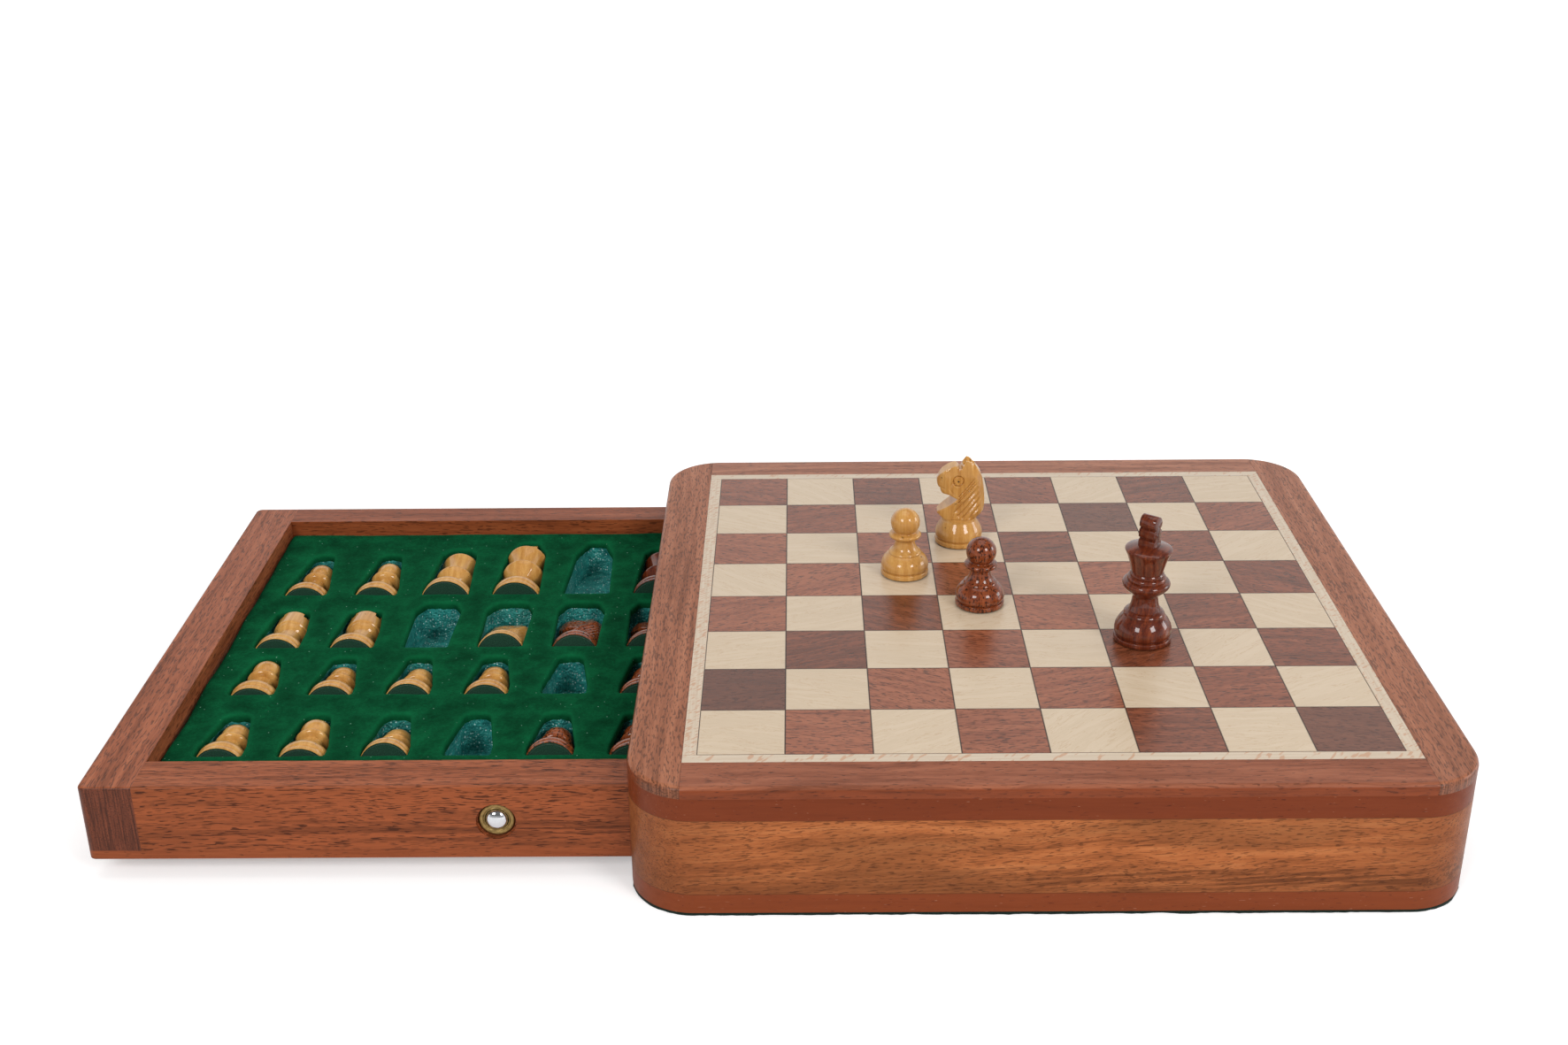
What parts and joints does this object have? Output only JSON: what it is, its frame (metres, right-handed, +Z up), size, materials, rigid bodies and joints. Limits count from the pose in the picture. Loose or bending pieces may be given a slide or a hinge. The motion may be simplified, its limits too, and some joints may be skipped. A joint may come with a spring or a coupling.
{
  "type": "chess box with drawer",
  "caption": "Chess board on a rounded wooden sleeve with a push-through drawer whose velvet-covered foam holds the turned chessmen.",
  "frame": {"origin": "centre of the casing's underside, where it rests", "axes": "+X along the board to the right and away from the open drawer, +Y away from the player, +Z up"},
  "size_m": [0.422, 0.2496, 0.0896],
  "materials": {
    "felt": "dark green felt",
    "base_wood": "satin lacquered red-brown band",
    "wall_wood": "satin lacquered figured wood",
    "band_wood": "satin lacquered dark red band",
    "frame_wood": "satin lacquered mahogany",
    "inlay_wood": "satin lacquered pale wood",
    "light_square_wood": "satin lacquered maple",
    "dark_square_wood": "satin lacquered rosewood",
    "drawer_wood": "satin oiled mahogany",
    "drawer_base_wood": "satin lacquered panel",
    "boxwood": "gloss lacquered boxwood",
    "rosewood": "gloss lacquered rosewood",
    "steel": "plain",
    "foam": "cut foam",
    "velvet": "deep green velvet",
    "brass": "dull",
    "chrome": "polished"
  },
  "bodies": {
    "casing": {"base_felt": "felt", "base_panel": "base_wood", "board_subpanel": "band_wood", "casing_back_wall": "wall_wood", "casing_front_wall": "wall_wood", "frame_rail_back": "frame_wood", "frame_rail_front": "frame_wood", "frame_stile_left": "frame_wood", "frame_stile_right": "frame_wood", "inlay_back": "inlay_wood", "inlay_front": "inlay_wood", "inlay_left": "inlay_wood", "inlay_right": "inlay_wood", "light_squares": "light_square_wood", "steel_sheet": "steel", "dark_squares": "dark_square_wood"},
    "drawer": {"drawer_bottom": "drawer_base_wood", "drawer_end_left": "drawer_wood", "drawer_end_right": "drawer_wood", "drawer_side_back": "drawer_wood", "drawer_side_front": "drawer_wood", "foam_insert": "foam", "velvet_cover": "velvet", "catch_housing": "brass", "catch_spring": "steel", "dark_queen": "rosewood", "dark_bishop_1": "rosewood", "dark_bishop_2": "rosewood", "dark_knight_2": "rosewood", "dark_rook_1": "rosewood", "dark_rook_2": "rosewood", "dark_pawn_2": "rosewood", "dark_pawn_3": "rosewood", "dark_pawn_4": "rosewood", "dark_pawn_5": "rosewood", "dark_pawn_6": "rosewood", "dark_pawn_7": "rosewood"},
    "catch_ball": {"catch_ball": "chrome"},
    "cream_pawn_8": {"cream_pawn_8": "boxwood"},
    "cream_knight_2": {"cream_knight_2": "boxwood"},
    "dark_pawn_8": {"dark_pawn_8": "rosewood"},
    "dark_king": {"dark_king": "rosewood"},
    "cream_bishop_1": {"cream_bishop_1": "boxwood"},
    "cream_bishop_2": {"cream_bishop_2": "boxwood"},
    "cream_king": {"cream_king": "boxwood"},
    "cream_knight_1": {"cream_knight_1": "boxwood"},
    "cream_pawn_1": {"cream_pawn_1": "boxwood"},
    "cream_pawn_2": {"cream_pawn_2": "boxwood"},
    "cream_pawn_3": {"cream_pawn_3": "boxwood"},
    "cream_pawn_4": {"cream_pawn_4": "boxwood"},
    "cream_pawn_5": {"cream_pawn_5": "boxwood"},
    "cream_pawn_6": {"cream_pawn_6": "boxwood"},
    "cream_pawn_7": {"cream_pawn_7": "boxwood"},
    "cream_queen": {"cream_queen": "boxwood"},
    "cream_rook_1": {"cream_rook_1": "boxwood"},
    "cream_rook_2": {"cream_rook_2": "boxwood"},
    "dark_knight_1": {"dark_knight_1": "rosewood"},
    "dark_pawn_1": {"dark_pawn_1": "rosewood"}
  },
  "joints": [
    {"name": "drawer_slide", "type": "slide", "parent": "casing", "child": "drawer", "axis": [-1, 0, 0], "range_m": [-0.376, 0.04]},
    {"name": "catch_ball_press", "type": "slide", "parent": "drawer", "child": "catch_ball", "axis": [0, 1, 0], "range_m": [0, 0.0012], "stiffness_N_per_m": 800, "springref_m": -0.001, "deforming": ["catch_spring"]},
    {"name": "cream_pawn_8_lift", "type": "slide", "parent": "casing", "child": "cream_pawn_8", "axis": [0, 0, 1], "range_m": [0, 0.06]},
    {"name": "cream_knight_2_lift", "type": "slide", "parent": "casing", "child": "cream_knight_2", "axis": [0, 0, 1], "range_m": [0, 0.06]},
    {"name": "dark_pawn_8_lift", "type": "slide", "parent": "casing", "child": "dark_pawn_8", "axis": [0, 0, 1], "range_m": [0, 0.06]},
    {"name": "dark_king_lift", "type": "slide", "parent": "casing", "child": "dark_king", "axis": [0, 0, 1], "range_m": [0, 0.06]},
    {"name": "cream_bishop_1_lift", "type": "slide", "parent": "drawer", "child": "cream_bishop_1", "axis": [0, 0, 1], "range_m": [0, 0.03]},
    {"name": "cream_bishop_2_lift", "type": "slide", "parent": "drawer", "child": "cream_bishop_2", "axis": [0, 0, 1], "range_m": [0, 0.03]},
    {"name": "cream_king_lift", "type": "slide", "parent": "drawer", "child": "cream_king", "axis": [0, 0, 1], "range_m": [0, 0.03]},
    {"name": "cream_knight_1_lift", "type": "slide", "parent": "drawer", "child": "cream_knight_1", "axis": [0, 0, 1], "range_m": [0, 0.03]},
    {"name": "cream_pawn_1_lift", "type": "slide", "parent": "drawer", "child": "cream_pawn_1", "axis": [0, 0, 1], "range_m": [0, 0.03]},
    {"name": "cream_pawn_2_lift", "type": "slide", "parent": "drawer", "child": "cream_pawn_2", "axis": [0, 0, 1], "range_m": [0, 0.03]},
    {"name": "cream_pawn_3_lift", "type": "slide", "parent": "drawer", "child": "cream_pawn_3", "axis": [0, 0, 1], "range_m": [0, 0.03]},
    {"name": "cream_pawn_4_lift", "type": "slide", "parent": "drawer", "child": "cream_pawn_4", "axis": [0, 0, 1], "range_m": [0, 0.03]},
    {"name": "cream_pawn_5_lift", "type": "slide", "parent": "drawer", "child": "cream_pawn_5", "axis": [0, 0, 1], "range_m": [0, 0.03]},
    {"name": "cream_pawn_6_lift", "type": "slide", "parent": "drawer", "child": "cream_pawn_6", "axis": [0, 0, 1], "range_m": [0, 0.03]},
    {"name": "cream_pawn_7_lift", "type": "slide", "parent": "drawer", "child": "cream_pawn_7", "axis": [0, 0, 1], "range_m": [0, 0.03]},
    {"name": "cream_queen_lift", "type": "slide", "parent": "drawer", "child": "cream_queen", "axis": [0, 0, 1], "range_m": [0, 0.03]},
    {"name": "cream_rook_1_lift", "type": "slide", "parent": "drawer", "child": "cream_rook_1", "axis": [0, 0, 1], "range_m": [0, 0.03]},
    {"name": "cream_rook_2_lift", "type": "slide", "parent": "drawer", "child": "cream_rook_2", "axis": [0, 0, 1], "range_m": [0, 0.03]},
    {"name": "dark_knight_1_lift", "type": "slide", "parent": "drawer", "child": "dark_knight_1", "axis": [0, 0, 1], "range_m": [0, 0.03]},
    {"name": "dark_pawn_1_lift", "type": "slide", "parent": "drawer", "child": "dark_pawn_1", "axis": [0, 0, 1], "range_m": [0, 0.03]}
  ]
}
